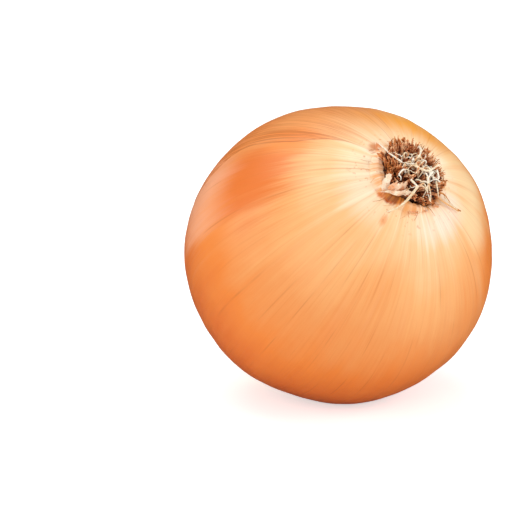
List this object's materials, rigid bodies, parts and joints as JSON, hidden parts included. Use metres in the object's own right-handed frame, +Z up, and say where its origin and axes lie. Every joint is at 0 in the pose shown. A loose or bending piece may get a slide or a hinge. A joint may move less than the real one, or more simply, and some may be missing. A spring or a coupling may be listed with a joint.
{
  "type": "onion",
  "caption": "Whole yellow onion in its dry skin, lying on its side with the root end tipped up and the dried neck resting on the table.",
  "frame": {"origin": "middle of the bounding box, on the table that the onion lies on", "axes": "+Z up; the onion's axis lies in the YZ plane, its root end points towards -Y and up and its neck towards +Y and down"},
  "size_m": [0.0818, 0.0838, 0.0756],
  "materials": {
    "onion_skin": "dry papery skin with a satin gloss",
    "dried_roots": "matte, dry and fibrous"
  },
  "bodies": {
    "root": {"bulb": "onion_skin", "root_tuft": "dried_roots"}
  },
  "joints": []
}
